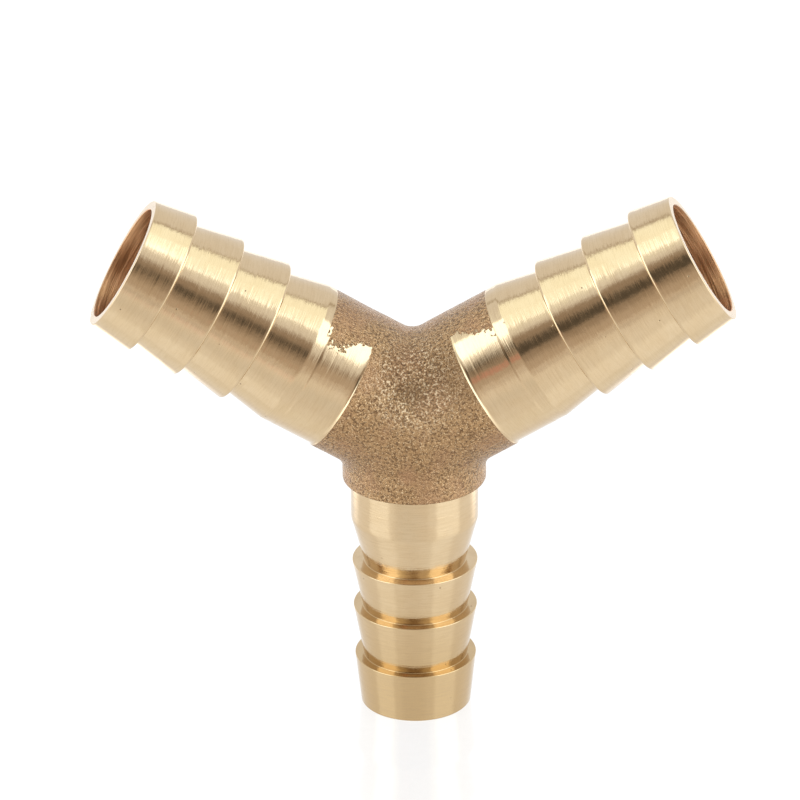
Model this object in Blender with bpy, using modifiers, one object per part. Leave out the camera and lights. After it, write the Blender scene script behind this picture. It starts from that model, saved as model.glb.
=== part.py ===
"""Brass reducing Y hose-barb connector, standing upright on the end of its lower tail.

Frame: metres, +Z up. The origin is the centre of the lower tail's end face and -Y is the
front. The axes of the three legs lie in the XZ plane, 120 degrees apart, and meet at the
hub centre. Lengths along a leg are distances from the hub centre, towards the leg's tip.
"""
import math

import bmesh
import bpy
from mathutils import Matrix, Vector

MM = 0.001
ROUND_STEPS = 48                   # facets around every turned or drilled surface
JOINT_GAP = 0.3 * MM               # room left between two pieces that touch
CUT_OVERSHOOT = 1.0 * MM           # how far a cutter runs past the face it opens

ARM_ELEVATION = math.radians(30.0)
LEG_ELEVATIONS = {
    "left": math.pi - ARM_ELEVATION,
    "right": ARM_ELEVATION,
    "lower": -math.pi / 2,
}

# The two upper tails take 16 mm hose and the lower one takes 13 mm hose.
ARM_TAIL = {
    "raw_radius": 8.4 * MM,        # forged surface of the hub around this leg
    "raw_end": 8.65 * MM,          # where the forged surface stops and the turned tail starts
    "spigot_radius": 7.4 * MM,
    "spigot_depth": 2.4 * MM,
    "bore_radius": 6.6 * MM,
    "neck_radius": 8.25 * MM,
    "neck_end": 15.1 * MM,
    "barb_shoulders": (20.2 * MM, 26.05 * MM, 31.95 * MM),
    "crest_radii": (8.3 * MM, 8.3 * MM, 8.3 * MM),
    "root_radii": (7.2 * MM, 7.2 * MM, 7.2 * MM),
    "tip": 36.85 * MM,
    "tip_radius": 7.65 * MM,
    "tip_chamfer": 0.15 * MM,
}
LOWER_TAIL = {
    "raw_radius": 8.03 * MM,
    "raw_end": 7.6 * MM,
    "spigot_radius": 6.0 * MM,
    "spigot_depth": 2.4 * MM,
    "bore_radius": 5.0 * MM,
    "neck_radius": 7.15 * MM,
    "neck_end": 12.5 * MM,
    "barb_shoulders": (18.0 * MM, 23.6 * MM, 29.7 * MM),
    "crest_radii": (6.98 * MM, 6.88 * MM, 6.74 * MM),
    "root_radii": (5.65 * MM, 5.85 * MM, 5.8 * MM),
    "tip": 35.6 * MM,
    "tip_radius": 6.2 * MM,
    "tip_chamfer": 0.15 * MM,
}
LEG_TAILS = {"left": ARM_TAIL, "right": ARM_TAIL, "lower": LOWER_TAIL}

HUB_BALL_RADIUS = ARM_TAIL["raw_radius"] + 0.1 * MM
CHAMBER_RADIUS = ARM_TAIL["bore_radius"] + 0.1 * MM
BALL_SEGMENTS = 48
BALL_RINGS = 24

FORGED_BRASS = {"name": "forged_brass", "colour": (0.42, 0.27, 0.11), "roughness": 0.55}
TURNED_BRASS = {"name": "turned_brass", "colour": (0.80, 0.60, 0.33), "roughness": 0.25}


def remove_scene_objects():
    for scene_object in list(bpy.data.objects):
        bpy.data.objects.remove(scene_object)


def new_collection(name):
    collection = bpy.data.collections.new(name)
    bpy.context.scene.collection.children.link(collection)
    return collection


def metal_material(finish):
    material = bpy.data.materials.new(finish["name"])
    material.use_nodes = True
    shader = material.node_tree.nodes["Principled BSDF"]
    shader.inputs["Base Color"].default_value = (*finish["colour"], 1.0)
    shader.inputs["Roughness"].default_value = finish["roughness"]
    shader.inputs["Metallic"].default_value = 1.0
    return material


def leg_matrix(leg):
    """Turns local +Z to point out along the leg, with the hub centre as the origin."""
    hub_centre = Vector((0.0, 0.0, LOWER_TAIL["tip"]))
    lean = math.pi / 2 - LEG_ELEVATIONS[leg]
    return Matrix.Translation(hub_centre) @ Matrix.Rotation(lean, 4, "Y")


def leg_empty(leg, collection):
    """An empty on the leg's axis at the hub centre, which carries the leg's tail."""
    empty = bpy.data.objects.new(leg + "_leg_axis", None)
    empty.empty_display_size = 10.0 * MM
    empty.matrix_world = leg_matrix(leg)
    collection.objects.link(empty)
    return empty


def object_from_bmesh(name, shape, collection):
    mesh = bpy.data.meshes.new(name)
    shape.to_mesh(mesh)
    shape.free()
    new_object = bpy.data.objects.new(name, mesh)
    collection.objects.link(new_object)
    return new_object


def cylinder(name, radius, start, end, collection):
    """A solid cylinder on local Z, from start to end."""
    shape = bmesh.new()
    centred = Matrix.Translation((0.0, 0.0, (start + end) / 2))
    bmesh.ops.create_cone(shape, cap_ends=True, segments=ROUND_STEPS, radius1=radius,
                          radius2=radius, depth=end - start, matrix=centred)
    return object_from_bmesh(name, shape, collection)


def ball(name, radius, collection):
    shape = bmesh.new()
    bmesh.ops.create_uvsphere(shape, u_segments=BALL_SEGMENTS, v_segments=BALL_RINGS,
                              radius=radius)
    return object_from_bmesh(name, shape, collection)


def tail_outline(tail):
    """Closed (radius, height) outline of a tail: down its outer side, up its bore."""
    barbs = list(zip(tail["barb_shoulders"], tail["crest_radii"], tail["root_radii"]))
    outline = [
        (tail["tip_radius"] - tail["tip_chamfer"], tail["tip"]),
        (tail["tip_radius"], tail["tip"] - tail["tip_chamfer"]),
    ]
    for shoulder, crest, root in reversed(barbs):
        outline.append((crest, shoulder))
        outline.append((root, shoulder))
    seat = tail["raw_end"] + JOINT_GAP
    outline += [
        (tail["neck_radius"], tail["neck_end"]),
        (tail["neck_radius"], seat),
        (tail["spigot_radius"], seat),
        (tail["spigot_radius"], seat - tail["spigot_depth"]),
        (tail["bore_radius"], seat - tail["spigot_depth"]),
        (tail["bore_radius"], tail["tip"]),
    ]
    return outline


def turned_tail(name, tail, collection):
    """A hose tail: its outline turned about local Z by a Screw modifier."""
    shape = bmesh.new()
    corners = [shape.verts.new((radius, 0.0, height)) for radius, height in tail_outline(tail)]
    for index, corner in enumerate(corners):
        shape.edges.new((corner, corners[(index + 1) % len(corners)]))
    turned = object_from_bmesh(name, shape, collection)
    screw = turned.modifiers.new("turning", "SCREW")
    screw.axis = "Z"
    screw.angle = math.tau
    screw.steps = ROUND_STEPS
    screw.render_steps = ROUND_STEPS
    screw.merge_threshold = 0.00001
    screw.use_smooth_shade = True
    return turned


def add_boolean(target, operation, other):
    boolean = target.modifiers.new(other.name, "BOOLEAN")
    boolean.operation = operation
    boolean.solver = "EXACT"
    boolean.object = other
    other.hide_render = True
    other.display_type = "WIRE"


def forged_hub(parts, cutters):
    """The rough hub: three forged stubs round a ball, drilled and counterbored on each leg."""
    hub = ball("forged_hub", HUB_BALL_RADIUS, parts)
    hub.location = (0.0, 0.0, LOWER_TAIL["tip"])
    for leg, tail in LEG_TAILS.items():
        stub = cylinder(leg + "_stub", tail["raw_radius"], 0.0, tail["raw_end"], cutters)
        stub.matrix_world = leg_matrix(leg)
        add_boolean(hub, "UNION", stub)
    chamber = ball("chamber", CHAMBER_RADIUS, cutters)
    chamber.location = hub.location
    add_boolean(hub, "DIFFERENCE", chamber)
    for leg, tail in LEG_TAILS.items():
        opening = tail["raw_end"] + CUT_OVERSHOOT
        passage = cylinder(leg + "_passage", tail["bore_radius"], 0.0, opening, cutters)
        passage.matrix_world = leg_matrix(leg)
        add_boolean(hub, "DIFFERENCE", passage)
        socket_floor = tail["raw_end"] - tail["spigot_depth"]
        socket = cylinder(leg + "_socket", tail["spigot_radius"] + JOINT_GAP, socket_floor,
                          opening, cutters)
        socket.matrix_world = leg_matrix(leg)
        add_boolean(hub, "DIFFERENCE", socket)
    return hub


def build_connector():
    remove_scene_objects()
    parts = new_collection("y_hose_connector")
    cutters = new_collection("cutters")
    hub = forged_hub(parts, cutters)
    hub.data.materials.append(metal_material(FORGED_BRASS))
    turned_brass = metal_material(TURNED_BRASS)
    for leg, tail in LEG_TAILS.items():
        hose_tail = turned_tail(leg + "_hose_tail", tail, parts)
        hose_tail.data.materials.append(turned_brass)
        hose_tail.parent = leg_empty(leg, parts)


build_connector()
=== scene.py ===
"""The finished look of the brass reducing Y hose-barb connector.

Row frame: metres, +Z up, -Y the front. Shapes are worked out in millimetres from the hub
centre. In a leg's own frame +Z points out along the leg.
"""

import math
from itertools import product

import bmesh
import bpy
import numpy as np
from mathutils import Matrix, Vector, noise


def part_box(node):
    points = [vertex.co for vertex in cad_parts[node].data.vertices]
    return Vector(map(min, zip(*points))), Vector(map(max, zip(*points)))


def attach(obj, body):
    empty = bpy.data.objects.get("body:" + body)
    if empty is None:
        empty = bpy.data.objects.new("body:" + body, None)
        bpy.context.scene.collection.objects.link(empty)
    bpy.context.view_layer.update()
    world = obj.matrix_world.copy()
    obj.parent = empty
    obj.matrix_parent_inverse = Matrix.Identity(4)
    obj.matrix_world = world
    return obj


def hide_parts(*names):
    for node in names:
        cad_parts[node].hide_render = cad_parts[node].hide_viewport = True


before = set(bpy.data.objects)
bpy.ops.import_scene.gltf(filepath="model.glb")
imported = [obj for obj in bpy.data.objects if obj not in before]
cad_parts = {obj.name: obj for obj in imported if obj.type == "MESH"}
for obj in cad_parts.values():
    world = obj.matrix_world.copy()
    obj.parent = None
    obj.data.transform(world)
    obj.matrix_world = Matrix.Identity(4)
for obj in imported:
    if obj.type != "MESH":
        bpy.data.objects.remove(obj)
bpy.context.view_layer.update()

MM = 0.001
MM_PER_M = (1000.0, 1000.0, 1000.0)

SEGMENTS = 288                  # vertices round a turned surface
FINE_STEP = 0.13                # longest profile step on an outside, mm
BORE_STEP = 1.2                 # longest profile step in a bore, mm
ARC_STEPS = 5                   # steps round a small edge
UV_LENGTH = 40.0                # length of a leg that the lathe UV map covers, mm

NET_LOW = (-14.0, -9.6, -10.0)  # corners of the grid that the hub's surface is found in, mm
NET_HIGH = (14.0, 9.6, 14.5)
NET_STEP = 0.17
SKIN_DEPTH = 0.25               # vertices this close to the outside belong to the skin, mm
SKIN_ROUNDS = 3                 # times the skin is moved onto the exact surface
SLOPE_STEP = 0.01
LARGEST_SMOOTH_FACE = 0.2       # mm2
SAME_PLACE = 1e-8               # m

# Radii, and distances from the hub centre along the leg, in mm. The band is a shallow step
# round an upper neck. A shoulder is where a barb drops from its crest to the next root.
ARM = {
    "raw_radius": 8.25, "raw_end": 8.65, "spigot": 7.4, "spigot_start": 6.3, "bore": 6.6,
    "neck": 8.25, "band": (13.85, 15.2), "band_radii": (8.225, 8.24), "step_fillet": 0.4,
    "shoulders": (20.2, 26.05, 31.95), "crests": (8.38, 8.38, 8.38), "roots": (7.28, 7.28, 7.28),
    "tip": 36.85, "tip_radius": 7.67, "crest_edge": 0.22, "root_edge": 0.14,
}
LOWER = {
    "raw_radius": 8.03, "raw_end": 7.6, "spigot": 6.0, "spigot_start": 5.25, "bore": 5.0,
    "neck": 7.15, "band": (12.2, 12.6), "band_radii": (7.15, 7.13), "step_fillet": 0.0,
    "shoulders": (18.0, 23.6, 29.7), "crests": (7.06, 6.97, 6.84), "roots": (5.70, 5.92, 5.86),
    "tip": 35.6, "tip_radius": 6.2, "crest_edge": 0.07, "root_edge": 0.05,
}
# How the forging stands proud of the turned neck, and dips below it along its top. A pair is
# the value at the hub end and at the band; "reach" is the dip's half width in degrees, "edge"
# is where the forging stands proud again and "up" is the side of leg-frame X that is the top.
FORGING = {
    "left": {"proud": 0.20, "depth": (0.17, 0.07), "reach": (38.0, 50.0), "edge": 14.3,
             "up": 1.0},
    "right": {"proud": 0.20, "depth": (0.09, 0.07), "reach": (25.0, 40.0), "edge": 13.85,
              "up": -1.0},
}
LEGS = {
    "left": (ARM, math.radians(150)),
    "right": (ARM, math.radians(30)),
    "lower": (LOWER, math.radians(-90)),
}
EDGE_RISE, EDGE_LENGTH = 0.3, 0.12
NOTCH_FILLET = 0.9              # between the two arms, mm
SKIRT_FILLET = 0.9              # between an arm and the lower skirt, mm
CHAMBER = 6.7
SOCKET_ROOM = 0.04              # left round a spigot, mm
SOCKET_END_ROOM = 0.05          # left past a spigot's end, and at its seat, mm
FLANGE = 8.9                    # a fillet's foot runs out to here before the forging trims it
TRIM_PAST_BAND = 1.5            # the forging trims a tail up to here, mm past its band
TRIM_TUCK = 0.012               # keeps a tail's end face just under the forging, mm
WALL_BLEND = 0.25               # width of the change from turned brass to drilled bore, mm

# Amplitude in mm and frequency per mm.
RELIEF = ((0.020, 0.33), (0.016, 1.1), (0.018, 2.6))
LATHE_MARKS = ((0.0022, 0.0, 2.7), (0.0018, 5.0, 5.1))      # the middle number is a seed

hub_low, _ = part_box("forged_hub")
HUB_CENTRE = np.array([0.0, 0.0, hub_low.z / MM + LOWER["raw_end"]])


def leg_axes(leg):
    """Rows are the leg frame's X, Y and Z axes in the row frame."""
    angle = LEGS[leg][1]
    turn = Matrix.Rotation(math.pi / 2 - angle, 3, "Y")
    return np.array(turn).T


def smooth(value, low, high):
    t = np.clip((value - low) / (high - low), 0.0, 1.0)
    return t * t * (3.0 - 2.0 * t)


# ---------------------------------------------------------------- forged surface

def forged_radius(leg, x, y, s):
    """Radius of the forging round a leg's axis, in the direction of leg-frame (x, y)."""
    if leg == "lower":
        return np.full(np.shape(x), LOWER["raw_radius"])
    form = FORGING[leg]
    off_top = np.degrees(np.arctan2(np.abs(y), form["up"] * x))
    along = smooth(s, ARM["raw_end"], ARM["band"][0])
    depth = form["depth"][0] + (form["depth"][1] - form["depth"][0]) * along
    reach = form["reach"][0] + (form["reach"][1] - form["reach"][0]) * along
    spread = reach / np.sqrt(np.log(1.0 + depth / form["proud"]))
    dip = (form["proud"] + depth) * np.exp(-(off_top / spread) ** 2)
    beyond = EDGE_RISE * smooth(s, form["edge"], form["edge"] + EDGE_LENGTH)
    return ARM["raw_radius"] + form["proud"] - dip + beyond


def relief(points):
    """Small ups and downs of the forged skin at row-frame points in mm."""
    return np.array([sum(size * noise.noise(Vector(point) * rate) for size, rate in RELIEF)
                     for point in points])


def round_union(a, b, fillet):
    inner = np.sqrt(np.maximum(fillet - a, 0.0) ** 2 + np.maximum(fillet - b, 0.0) ** 2)
    return np.maximum(fillet, np.minimum(a, b)) - inner


def leg_point(leg, points):
    q = points @ leg_axes(leg).T
    return q[..., 0], q[..., 1], q[..., 2]


def outer_distance(points):
    """Roughly how far points (mm from the hub centre) lie outside the forging."""
    stubs = {}
    for leg in LEGS:
        x, y, s = leg_point(leg, points)
        reach = np.sqrt(x * x + y * y + np.minimum(s, 0.0) ** 2)
        stubs[leg] = reach - forged_radius(leg, x, y, s)
    arms = round_union(stubs["left"], stubs["right"], NOTCH_FILLET)
    return round_union(arms, stubs["lower"], SKIRT_FILLET)


def inner_distance(points):
    hollow = np.sqrt((points ** 2).sum(-1)) - CHAMBER
    for leg, (tail, _) in LEGS.items():
        x, y, s = leg_point(leg, points)
        rho = np.sqrt(x * x + y * y)
        bore = np.sqrt(rho ** 2 + np.minimum(s, 0.0) ** 2) - tail["bore"]
        socket = np.maximum(rho - tail["spigot"] - SOCKET_ROOM,
                            tail["spigot_start"] - SOCKET_END_ROOM - s)
        hollow = np.minimum(hollow, np.minimum(bore, socket))
    return hollow


def surface_net(field, low):
    """Vertices and quads of the surface where a sampled field is zero."""
    inside = field < 0
    cells = tuple(n - 1 for n in field.shape)
    offsets = list(product((0, 1), repeat=3))
    count = sum(inside[i:i + cells[0], j:j + cells[1], k:k + cells[2]].astype(np.int8)
                for i, j, k in offsets)
    active = np.argwhere((count > 0) & (count < 8))
    number = np.full(cells, -1)
    number[tuple(active.T)] = np.arange(len(active))
    total = np.zeros((len(active), 3))
    hits = np.zeros(len(active))
    for start, end in product(offsets, offsets):
        if sum(end) - sum(start) != 1 or min(np.subtract(end, start)) < 0:
            continue
        a = field[tuple((active + start).T)]
        b = field[tuple((active + end).T)]
        cross = (a < 0) != (b < 0)
        share = np.where(cross, a / np.where(cross, a - b, 1.0), 0.0)
        place = np.array(start) + share[:, None] * (np.array(end) - np.array(start))
        total += np.where(cross[:, None], place, 0.0)
        hits += cross
    vertices = low + NET_STEP * (active + total / hits[:, None])
    quads = []
    for axis in range(3):
        others = [a for a in range(3) if a != axis]
        here = np.take(inside, range(cells[axis]), axis)
        there = np.take(inside, range(1, cells[axis] + 1), axis)
        edges = np.argwhere(here != there)
        keep = np.all([(edges[:, a] > 0) & (edges[:, a] < cells[a]) for a in others], axis=0)
        edges = edges[keep]
        ring = []
        for da, db in ((-1, -1), (0, -1), (0, 0), (-1, 0)):
            cell = edges.copy()
            cell[:, others[0]] += da
            cell[:, others[1]] += db
            ring.append(number[tuple(cell.T)])
        ring = np.stack(ring, 1)
        leaving = here[tuple(edges.T)]
        flip = leaving if axis != 1 else ~leaving
        quads.append(np.where(flip[:, None], ring, ring[:, ::-1]))
    return vertices, np.concatenate(quads)


def gradient(points):
    steps = [outer_distance(points + SLOPE_STEP * axis)
             - outer_distance(points - SLOPE_STEP * axis) for axis in np.eye(3)]
    return np.stack(steps, -1) / (2 * SLOPE_STEP)


def cut_flat(shape, place, normal):
    """Cuts the shape off beyond a plane and closes it with a flat face."""
    parts = shape.verts[:] + shape.edges[:] + shape.faces[:]
    cut = bmesh.ops.bisect_plane(shape, geom=parts, plane_co=place, plane_no=normal,
                                 clear_outer=True, dist=SAME_PLACE)
    edges = [e for e in cut["geom_cut"] if isinstance(e, bmesh.types.BMEdge)]
    bmesh.ops.triangle_fill(shape, edges=edges, normal=normal, use_beauty=False)


def forged_hub():
    """The hub's skin: a net round the formula's solid, moved onto it, roughened, cut flat."""
    axes = [np.arange(low, high, NET_STEP) for low, high in zip(NET_LOW, NET_HIGH)]
    grid = np.stack(np.meshgrid(*axes, indexing="ij"), -1)
    solid = np.maximum(outer_distance(grid), -inner_distance(grid))
    vertices, quads = surface_net(solid, np.array(NET_LOW))
    skin = outer_distance(vertices) > -SKIN_DEPTH
    points = vertices[skin]
    for _ in range(SKIN_ROUNDS):
        slope = gradient(points)
        away = outer_distance(points)[:, None]
        points = points - slope * away / (slope ** 2).sum(-1, keepdims=True)
    slope = gradient(points)
    slope /= np.linalg.norm(slope, axis=-1, keepdims=True)
    points = points + slope * relief(points + HUB_CENTRE)[:, None]
    vertices[skin] = points
    mesh = bpy.data.meshes.new("forged_hub_skin")
    mesh.from_pydata((vertices + HUB_CENTRE) * MM, [], quads.tolist())
    shape = bmesh.new()
    shape.from_mesh(mesh)
    for leg, (tail, _) in LEGS.items():
        axis = leg_axes(leg)[2]
        place = (HUB_CENTRE + axis * tail["raw_end"]) * MM
        cut_flat(shape, Vector(place), Vector(axis))
    bmesh.ops.recalc_face_normals(shape, faces=shape.faces)
    for face in shape.faces:
        small = face.calc_area() < LARGEST_SMOOTH_FACE * MM * MM
        face.smooth = small and len(face.verts) == 4
    shape.to_mesh(mesh)
    shape.free()
    return add_piece("forged_hub_skin", mesh)


# ---------------------------------------------------------------- turned tails

def rounded(corners):
    """A closed (radius, height) outline with its corners rounded by their third number."""
    outline = []
    for i, (r, z, size) in enumerate(corners):
        corner = np.array([r, z])
        if size <= 0:
            outline.append(corner)
            continue
        to_last = np.array(corners[i - 1][:2]) - corner
        to_next = np.array(corners[(i + 1) % len(corners)][:2]) - corner
        to_last /= np.linalg.norm(to_last)
        to_next /= np.linalg.norm(to_next)
        half = math.acos(np.clip(to_last @ to_next, -1, 1)) / 2
        middle = to_last + to_next
        centre = corner + middle / np.linalg.norm(middle) * size / math.sin(half)
        start = corner + to_last * size / math.tan(half) - centre
        end = corner + to_next * size / math.tan(half) - centre
        sweep = math.pi - 2 * half
        for k in range(ARC_STEPS + 1):
            t = k / ARC_STEPS
            arc = math.sin((1 - t) * sweep) * start + math.sin(t * sweep) * end
            outline.append(centre + arc / math.sin(sweep))
    return outline


def tail_corners(tail):
    """(radius, height, edge size) down the outside from the tip, then back up the bore."""
    tip, bore = tail["tip"], tail["bore"]
    corners = [(bore, tip, 0.12), (tail["tip_radius"], tip, 0.13)]
    barbs = list(zip(tail["shoulders"], tail["crests"], tail["roots"]))
    for shoulder, crest, root in reversed(barbs):
        corners += [(crest, shoulder, tail["crest_edge"]),
                    (root, shoulder, tail["root_edge"])]
    band_start, band_end = tail["band"]
    corners += [(tail["band_radii"][1], band_end, 0.0),
                (tail["band_radii"][0], band_start + 0.03, 0.0),
                (tail["neck"], band_start - 0.03, 0.0)]
    seat = tail["raw_end"]
    under_seat = seat - SOCKET_END_ROOM
    if tail["step_fillet"]:
        corners += [(tail["neck"], seat, tail["step_fillet"]), (FLANGE, seat, 0.0),
                    (FLANGE, under_seat, 0.0)]
    else:
        corners += [(tail["neck"], under_seat, 0.0)]
    corners += [(tail["spigot"], under_seat, 0.0), (tail["spigot"], tail["spigot_start"], 0.0),
                (bore, tail["spigot_start"], 0.0)]
    return corners


def resampled(outline, bore):
    """The outline with its long steps divided, finely on the outside and coarsely inside."""
    points = []
    for a, b in zip(outline, outline[1:] + outline[:1]):
        inside = max(a[0], b[0]) < bore + 0.01
        step = BORE_STEP if inside else FINE_STEP
        pieces = max(1, math.ceil(np.linalg.norm(b - a) / step))
        points += [a + (b - a) * k / pieces for k in range(pieces)]
    return np.array(points)


def lathe_marks(leg, heights):
    """Tool marks: a few microns in and out along the turned outside."""
    seed = 40.0 + 7.0 * list(LEGS).index(leg)
    return np.array([sum(size * noise.noise(Vector((seed, row, z * rate)))
                         for size, row, rate in LATHE_MARKS) for z in heights])


def add_attribute(mesh, name, values, kind="FLOAT", key="value"):
    mesh.attributes.new(name, kind, "POINT")
    mesh.attributes[name].data.foreach_set(key, values.astype(np.float32).ravel())


def turned_tail(leg):
    """A tail turned from its outline, trimmed by the forging where that dips below it."""
    tail, _ = LEGS[leg]
    profile = resampled(rounded(tail_corners(tail)), tail["bore"])
    radius, height = profile[:, 0], profile[:, 1]
    angle = np.arange(SEGMENTS) * math.tau / SEGMENTS
    outside = radius > tail["spigot"] - 0.3
    radius = radius + np.where(outside, lathe_marks(leg, height), 0.0)
    rows, columns = len(radius), SEGMENTS
    r = np.repeat(radius[:, None], columns, 1)
    s = np.repeat(height[:, None], columns, 1)
    x, y = np.cos(angle)[None, :], np.sin(angle)[None, :]
    axes = leg_axes(leg)
    gap = np.full((rows, columns), -1.0)
    if leg != "lower":
        near = (height < ARM["band"][1] + TRIM_PAST_BAND) & (radius > tail["spigot"] + 0.2)
        raw = forged_radius(leg, np.broadcast_to(x, r.shape), np.broadcast_to(y, r.shape), s)
        local = np.stack([raw * x, raw * y, s], -1)[near]
        bumps = relief(local.reshape(-1, 3) @ axes + HUB_CENTRE)
        raw[near] += bumps.reshape(-1, columns)
        tuck = np.where(s < tail["raw_end"] + 1e-6, TRIM_TUCK, 0.0)
        gap = np.where(near[:, None], r - raw, -1.0)
        r = np.where(near[:, None], np.minimum(r, raw - tuck), r)
    local = np.stack([r * x, r * y, s], -1).reshape(-1, 3)
    mesh = bpy.data.meshes.new(leg + "_tail_turned")
    ring = np.arange(rows)[:, None] * columns
    column = np.arange(columns)[None, :]
    after, beside = np.roll(ring, -1, 0), np.roll(column, -1, 1)
    quads = np.stack([ring + column, after + column, after + beside, ring + beside], -1)
    mesh.from_pydata((local @ axes + HUB_CENTRE) * MM, [], quads.reshape(-1, 4).tolist())
    wall_depth = np.clip((tail["bore"] + WALL_BLEND - r) / WALL_BLEND, 0.0, 1.0)
    # Painted shade and a painted warm floor reflection: the lower tail grows darker and warmer
    # towards its tip, by the floor.
    floor_shade_tint = smooth(s, 14.0, 33.0) * (1.0 if leg == "lower" else 0.0)
    add_attribute(mesh, "leg_place", local, "FLOAT_VECTOR", "vector")
    add_attribute(mesh, "raw_depth", gap)
    add_attribute(mesh, "wall_depth", wall_depth)
    add_attribute(mesh, "floor_shade_tint", floor_shade_tint)
    here = column + 0 * ring
    turns = np.stack([here, here, here + 1, here + 1], -1) / columns
    s_after = np.roll(s, -1, 0)
    lengths = np.stack([s, s_after, s_after, s], -1) / UV_LENGTH
    uv = mesh.uv_layers.new(name="lathe")
    uv.data.foreach_set("uv", np.stack([turns, lengths], -1).astype(np.float32).ravel())
    mesh.shade_smooth()
    return add_piece(leg + "_tail_turned", mesh)


def add_piece(name, mesh):
    piece = bpy.data.objects.new(name, mesh)
    bpy.context.scene.collection.objects.link(piece)
    return piece


# ---------------------------------------------------------------- materials

COLOUR_A, COLOUR_B, COLOUR_OUT = 6, 7, 2        # a Mix node's sockets
VALUE_A, VALUE_B, VALUE_OUT = 2, 3, 0


class Graph:
    """Adds nodes to one tree; a value that is a socket is linked, anything else is set."""

    def __init__(self, tree):
        self.tree = tree
        tree.nodes.clear()

    def node(self, kind, inputs=(), **settings):
        made = self.tree.nodes.new(kind)
        for name, value in settings.items():
            setattr(made, name, value)
        for key, value in dict(inputs).items():
            self.put(made.inputs[key], value)
        return made

    def put(self, socket, value):
        if isinstance(value, bpy.types.NodeSocket):
            self.tree.links.new(value, socket)
        else:
            socket.default_value = value

    def math(self, operation, *values, clamp=False):
        return self.node("ShaderNodeMath", dict(enumerate(values)), operation=operation,
                         use_clamp=clamp).outputs[0]

    def product(self, first, *others):
        for other in others:
            first = self.math("MULTIPLY", first, other)
        return first

    def length(self, x, y):
        return self.math("SQRT", self.math("ADD", self.math("MULTIPLY", x, x),
                                           self.math("MULTIPLY", y, y)))

    def attribute(self, name, output="Fac"):
        return self.node("ShaderNodeAttribute", attribute_name=name).outputs[output]

    def object_place(self):
        return self.node("ShaderNodeTexCoord").outputs["Object"]

    def split(self, vector):
        return self.node("ShaderNodeSeparateXYZ", {0: vector}).outputs

    def ramp(self, value, low, high, start=0.0, end=1.0):
        keys = {"Value": value, "From Min": low, "From Max": high, "To Min": start,
                "To Max": end}
        return self.node("ShaderNodeMapRange", keys, interpolation_type="SMOOTHSTEP").outputs[0]

    def scaled(self, vector, scale):
        return self.node("ShaderNodeVectorMath", {0: vector, 1: scale},
                         operation="MULTIPLY").outputs[0]

    def noise(self, vector, scale, detail=2.0, roughness=0.5):
        keys = {"Vector": vector, "Scale": scale, "Detail": detail, "Roughness": roughness}
        return self.node("ShaderNodeTexNoise", keys).outputs["Fac"]

    def blend(self, factor, a, b):
        mix = self.node("ShaderNodeMix", data_type="RGBA")
        self.put(mix.inputs["Factor"], factor)
        self.put(mix.inputs[COLOUR_A], a)
        self.put(mix.inputs[COLOUR_B], b)
        return mix.outputs[COLOUR_OUT]

    def between(self, factor, a, b):
        mix = self.node("ShaderNodeMix", data_type="FLOAT")
        self.put(mix.inputs["Factor"], factor)
        self.put(mix.inputs[VALUE_A], a)
        self.put(mix.inputs[VALUE_B], b)
        return mix.outputs[VALUE_OUT]


BRASS = (0.67, 0.505, 0.31, 1.0)
BRASS_WARM = (0.645, 0.475, 0.28, 1.0)
BRASS_FLOOR_SHADE = (0.575, 0.405, 0.21, 1.0)
BORE_COPPER = (0.84, 0.49, 0.25, 1.0)
TURNING_LINE = (0.52, 0.37, 0.205, 1.0)
BORE_DARK = (0.44, 0.23, 0.105, 1.0)
PIT = (0.16, 0.10, 0.05, 1.0)
RAW_DARK = (0.18, 0.10, 0.048, 1.0)
RAW_MIDDLE = (0.445, 0.268, 0.128, 1.0)
RAW_LIGHT = (0.73, 0.52, 0.30, 1.0)
RAW_PAINTED_GLINT = (0.86, 0.67, 0.44, 1.0)
RAW_COPPER = (0.42, 0.235, 0.125, 1.0)


# Places on the front of the forging, mm from the hub centre: painted glints round the crease,
# painted shade in the valley, on the right and at the front, and a stain.
CREASE = (0.3, -6.2, 6.3)
VALLEY_SHADE = (0.0, -6.8, 5.4)
RIGHT_SHADE = (5.4, -5.8, 7.0)
FRONT_SHADE = (0.0, -8.4, -1.0)
STAIN = (-0.8, -8.1, -4.2)


def near_point(graph, place, offset, far, close):
    """1 close to a point given in mm from the hub centre, 0 further off."""
    point = tuple(HUB_CENTRE + np.array(offset))
    keys = {0: place, 1: point}
    away = graph.node("ShaderNodeVectorMath", keys, operation="DISTANCE").outputs["Value"]
    return graph.ramp(away, far, close)


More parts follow.
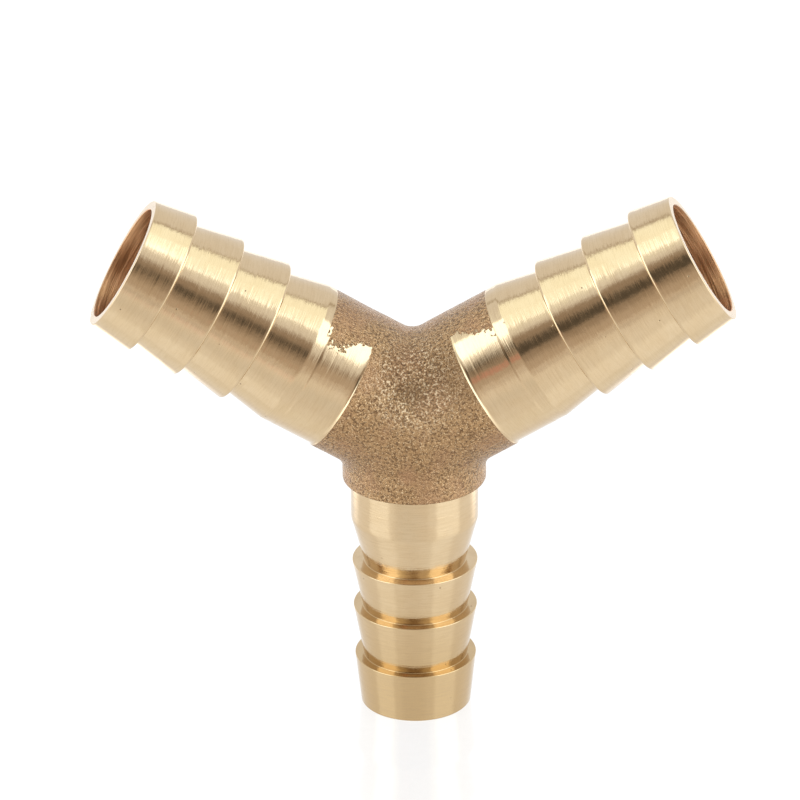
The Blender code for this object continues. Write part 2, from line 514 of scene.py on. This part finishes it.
def forged_look(graph):
    """Colour, roughness and height (mm) of the sandy forged skin; its colour also holds painted
    shade and painted glints.
    """
    place = graph.scaled(graph.object_place(), MM_PER_M)
    grain = graph.noise(place, 3.4, 3.0, 0.6)
    coarse = graph.noise(place, 1.3, 2.0, 0.5)
    fleck = graph.noise(place, 6.5, 2.0, 0.5)
    patch = graph.noise(place, 0.24, 2.0, 0.5)
    chunks = graph.noise(place, 3.8, 4.0, 0.68)
    crease = near_point(graph, place, CREASE, 7.2, 2.2)

    height = graph.math("MULTIPLY", grain, 0.23)
    height = graph.math("MULTIPLY_ADD", coarse, 0.06, height)
    height = graph.math("MULTIPLY_ADD", fleck, 0.055, height)
    height = graph.math("MULTIPLY_ADD", graph.product(chunks, crease), 0.32, height)
    roughness = graph.ramp(fleck, 0.35, 0.7, 0.36, 0.20)
    roughness = graph.math("MULTIPLY_ADD", crease, -0.10, roughness)

    # Painted shade: darker in the valley below the notch between the arms.
    valley_shade = graph.product(near_point(graph, place, VALLEY_SHADE, 2.6, 0.5), 0.55)
    right = graph.product(near_point(graph, place, RIGHT_SHADE, 5.2, 1.4), 0.55)
    front = graph.product(near_point(graph, place, FRONT_SHADE, 8.5, 3.0), 0.11)
    layers = (
        (graph.ramp(fleck, 0.55, 0.70), RAW_LIGHT),
        (graph.ramp(patch, 0.48, 0.70, 0.0, 0.5), RAW_COPPER),
        # Painted glints and painted shade: round the crease, grains are coloured bright or dark
        # where they would catch or miss the light.
        (graph.product(graph.ramp(chunks, 0.53, 0.61, 0.0, 0.95), crease), RAW_PAINTED_GLINT),
        (graph.product(graph.ramp(chunks, 0.48, 0.40, 0.0, 0.95), crease), RAW_DARK),
        (valley_shade, RAW_DARK),
        (right, RAW_DARK),
        (front, RAW_DARK),
        (graph.product(near_point(graph, place, STAIN, 1.6, 0.4), 0.6), RAW_COPPER),
    )
    colour = graph.blend(graph.ramp(grain, 0.37, 0.56), RAW_DARK, RAW_MIDDLE)
    for amount, tint in layers:
        colour = graph.blend(amount, colour, tint)
    return colour, roughness, height


def finish_material(graph, colour, roughness, height, anisotropic, tangent=None):
    """Metal with a bump; height is in mm."""
    bump = graph.node("ShaderNodeBump", {"Height": height, "Strength": 1.0, "Distance": MM})
    keys = {"Base Color": colour, "Roughness": roughness, "Metallic": 1.0,
            "Normal": bump.outputs[0], "Anisotropic": anisotropic,
            "Anisotropic Rotation": 0.25}
    if tangent is not None:
        keys["Tangent"] = tangent
    shader = graph.node("ShaderNodeBsdfPrincipled", keys)
    graph.node("ShaderNodeOutputMaterial", {"Surface": shader.outputs[0]})


def new_material(name):
    material = bpy.data.materials.new(name)
    material.use_nodes = True
    return material, Graph(material.node_tree)


def forged_material():
    material, graph = new_material("forged_brass_skin")
    finish_material(graph, *forged_look(graph), 0.0)
    return material


def turned_material():
    """Lathe-turned brass, drilled copper-coloured in the bore and raw where the lathe missed;
    painted shade and a painted warm floor reflection darken the lower tail towards its tip.
    """
    material, graph = new_material("turned_brass_lathe")
    place = graph.attribute("leg_place", "Vector")
    streak = graph.noise(graph.scaled(place, (0.11, 0.11, 3.1)), 1.0, 3.0, 0.65)
    scratch = graph.noise(graph.scaled(place, (0.45, 0.45, 9.0)), 1.0, 2.0, 0.6)
    broad = graph.noise(graph.scaled(place, (0.30, 0.30, 0.5)), 1.0, 2.0, 0.5)
    drill = graph.noise(graph.scaled(place, (0.12, 0.12, 3.0)), 1.0, 3.0, 0.6)
    mottle = graph.noise(place, 1.1, 3.0, 0.6)
    cells = graph.node("ShaderNodeTexVoronoi", {"Vector": place, "Scale": 0.8})
    rare = graph.ramp(cells.outputs["Color"], 0.78, 0.80)
    pits = graph.product(rare, graph.ramp(cells.outputs["Distance"], 0.10, 0.05))
    floor_shade_tint = graph.attribute("floor_shade_tint")

    colour = graph.blend(graph.ramp(broad, 0.3, 0.7, 0.0, 0.8), BRASS, BRASS_WARM)
    colour = graph.blend(graph.ramp(mottle, 0.45, 0.72, 0.0, 0.55), colour, BRASS_WARM)
    # Painted shade and painted floor reflection: darker, warmer brass and darker turning lines
    # towards the lower tail's tip.
    colour = graph.blend(floor_shade_tint, colour, BRASS_FLOOR_SHADE)
    lines = graph.math("MULTIPLY_ADD", floor_shade_tint, 0.25, graph.ramp(scratch, 0.35, 0.65, 0.0, 0.26))
    lines = graph.product(lines, graph.ramp(scratch, 0.35, 0.65))
    colour = graph.blend(lines, colour, TURNING_LINE)
    colour = graph.blend(graph.product(pits, 0.7), colour, PIT)
    roughness = graph.ramp(mottle, 0.35, 0.7, 0.10, 0.15)
    height = graph.product(streak, graph.ramp(broad, 0.35, 0.65, 0.010, 0.026))
    height = graph.math("MULTIPLY_ADD", scratch, 0.0045, height)
    height = graph.math("MULTIPLY_ADD", mottle, 0.012, height)
    height = graph.math("MULTIPLY_ADD", pits, -0.02, height)

    bore = graph.ramp(graph.attribute("wall_depth"), 0.55, 0.80)
    drilled = graph.blend(graph.ramp(drill, 0.38, 0.62), BORE_DARK, BORE_COPPER)
    colour = graph.blend(bore, colour, drilled)
    roughness = graph.between(bore, roughness, 0.36)
    height = graph.math("ADD", height, graph.product(bore, graph.product(drill, 0.07)))

    raw_colour, raw_roughness, raw_height = forged_look(graph)
    ragged = graph.noise(graph.scaled(graph.object_place(), MM_PER_M), 2.2, 4.0, 0.65)
    ragged = graph.product(graph.math("ADD", ragged, -0.5),
                           graph.ramp(graph.split(place)[2], 13.4, 13.9, 0.075, 0.01))
    raw_edge = graph.math("ADD", graph.attribute("raw_depth"), ragged)
    raw = graph.ramp(raw_edge, -0.003, 0.003)
    colour = graph.blend(raw, colour, raw_colour)
    roughness = graph.between(raw, roughness, raw_roughness)
    height = graph.between(raw, height, raw_height)
    tangent = graph.node("ShaderNodeTangent", direction_type="UV_MAP", uv_map="lathe")
    finish_material(graph, colour, roughness, height, 0.75, tangent.outputs[0])
    return material


# ---------------------------------------------------------------- stage, light, camera

PER_RADIAN = 57.2958            # degrees
AMBIENT = (1.00, 1.03, 1.08, 1)
HIGH_BOX = (1.52, 1.68, 1.66, 1)
LOW_BOX = (2.45, 2.72, 3.00, 1)
SEAM = (0.62, 0.58, 0.52, 1)
OPENING_LOW = (0.66, 0.58, 0.52, 1)
OPENING_HIGH = (0.43, 0.36, 0.31, 1)
DARK_SPOT = (0.12, 0.105, 0.09, 1)
RED_SPOT = (0.72, 0.42, 0.37, 1)


def studio_world():
    """A pale studio: soft boxes on both sides and overhead, a darker opening round the camera.

    A direction is given by its turn (0 at the front, + to the right) and its rise, in degrees.
    """
    world = bpy.data.worlds.new("studio")
    bpy.context.scene.world = world
    world.use_nodes = True
    graph = Graph(world.node_tree)
    axes = graph.split(graph.node("ShaderNodeTexCoord").outputs["Generated"])
    toward_front = graph.product(axes[1], -1.0)
    turn = graph.product(graph.math("ARCTAN2", axes[0], toward_front), PER_RADIAN)
    rise = graph.product(graph.math("ARCSINE", axes[2]), PER_RADIAN)
    side = graph.math("ABSOLUTE", turn)

    def spot(turn_at, rise_at, turn_size, rise_size, edge_out, edge_in):
        across = graph.product(graph.math("ADD", turn, -turn_at), 1 / turn_size)
        above = graph.product(graph.math("ADD", rise, -rise_at), 1 / rise_size)
        return graph.ramp(graph.length(across, above), edge_out, edge_in)

    inner = graph.math("ADD", graph.ramp(turn, -43, -51), graph.ramp(turn, 36, 44))
    low_box = graph.product(inner, graph.ramp(side, 92, 84), graph.ramp(rise, -4, 4),
                            graph.ramp(rise, 66, 57))
    back = graph.math("MAXIMUM", turn, graph.math("MULTIPLY_ADD", turn, -1.0, -8.0))
    high_box = graph.product(graph.ramp(side, 22, 60), graph.ramp(back, 133, 129),
                             graph.ramp(rise, 45, 57), graph.ramp(rise, 90, 78))
    seam = graph.product(graph.ramp(back, 128, 132), graph.ramp(back, 139, 134),
                         graph.ramp(rise, 25, 35))
    above = graph.math("MAXIMUM", graph.math("ADD", rise, -15.0), 0.0)
    arch = graph.length(graph.product(graph.math("ADD", turn, 5.0), 1 / 32),
                        graph.product(above, 1 / 44))
    opening = graph.blend(graph.ramp(rise, 19, 7), OPENING_HIGH, OPENING_LOW)
    layers = (
        (high_box, HIGH_BOX),
        (low_box, LOW_BOX),
        (graph.ramp(arch, 1.15, 0.80), opening),
        (spot(-13, 30, 24, 9, 1.35, 0.5), DARK_SPOT),
        (spot(-22, 11, 7, 5, 1.3, 0.5), RED_SPOT),
    )
    colour = graph.blend(seam, AMBIENT, SEAM)
    for amount, light in layers:
        colour = graph.blend(amount, colour, light)
    background = graph.node("ShaderNodeBackground", {"Color": colour, "Strength": 1.0})
    graph.node("ShaderNodeOutputWorld", {"Surface": background.outputs[0]})


FLOOR_RADIUS, FLOOR_SEGMENTS = 6.0, 96
FLOOR_GLOW = 0.80


def pale_floor():
    """A pale glossy floor that glows, a painted light: its glow is dimmer in a lane before the
    part and brighter in two patches behind it, and lights the part and shows in its reflections.
    """
    shape = bmesh.new()
    bmesh.ops.create_circle(shape, cap_ends=True, segments=FLOOR_SEGMENTS, radius=FLOOR_RADIUS)
    mesh = bpy.data.meshes.new("studio_floor")
    shape.to_mesh(mesh)
    shape.free()
    floor = add_piece("studio_floor", mesh)
    material, graph = new_material("pale_floor")
    place = graph.object_place()
    x, y, _ = graph.split(place)
    width = graph.math("ABSOLUTE", x)
    lane = graph.math("MULTIPLY_ADD", y, 0.8, width)
    ahead = graph.product(graph.ramp(y, -0.12, -0.45), graph.ramp(lane, 0.03, -0.05))
    behind = graph.product(graph.ramp(y, 0.02, 0.05), graph.ramp(y, 0.22, 0.16, 0.0, 1.3),
                           graph.ramp(width, 0.034, 0.050), graph.ramp(width, 0.086, 0.064))
    # Painted light: the floor's glow, dimmed in the lane ahead and raised in the patches behind.
    glow = graph.math("ADD", graph.math("MULTIPLY_ADD", ahead, -0.45, FLOOR_GLOW), behind)
    tone = graph.ramp(graph.noise(place, 900.0, 2.0, 0.5), 0.3, 0.7, 0.10, 0.11)
    gloss = graph.node("ShaderNodeBsdfPrincipled",
                       {"Base Color": tone, "Roughness": 0.10, "IOR": 1.95,
                        "Emission Color": (1.0, 1.0, 1.0, 1.0), "Emission Strength": glow})
    graph.node("ShaderNodeOutputMaterial", {"Surface": gloss.outputs[0]})
    mesh.materials.append(material)


CAMERA_RISE, CAMERA_ROLL = 24.79, 0.496         # degrees
CAMERA_DISTANCE = 0.6477                        # m from the hub centre
CAMERA_SHIFT = (-0.001547, 0.001353)            # m to the right and up
LENS, SENSOR = 261.9, 36.0                      # mm


def photo_camera():
    rise, roll = math.radians(CAMERA_RISE), math.radians(CAMERA_ROLL)
    ahead = Vector((0.0, math.cos(rise), -math.sin(rise)))
    level_up = Vector((0.0, math.sin(rise), math.cos(rise)))
    level_right = Vector((1.0, 0.0, 0.0))
    right = math.cos(roll) * level_right - math.sin(roll) * level_up
    up = math.sin(roll) * level_right + math.cos(roll) * level_up
    place = Vector(HUB_CENTRE) * MM - CAMERA_DISTANCE * ahead
    place = place + CAMERA_SHIFT[0] * right + CAMERA_SHIFT[1] * up
    data = bpy.data.cameras.new("studio_camera")
    data.lens, data.sensor_width = LENS, SENSOR
    data.clip_start, data.clip_end = 0.01, 50.0
    camera = bpy.data.objects.new("studio_camera", data)
    turn = Matrix((right, up, -ahead)).transposed().to_4x4()
    camera.matrix_world = Matrix.Translation(place) @ turn
    bpy.context.scene.collection.objects.link(camera)
    bpy.context.scene.camera = camera


# ---------------------------------------------------------------- putting it together

hub = forged_hub()
hub.data.materials.append(forged_material())
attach(hub, "root")
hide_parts("forged_hub")

brass = turned_material()
for leg in LEGS:
    piece = turned_tail(leg)
    piece.data.materials.append(brass)
    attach(piece, "root")
    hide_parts(leg + "_hose_tail")

pale_floor()
studio_world()
photo_camera()
bpy.context.scene.view_settings.view_transform = "Standard"
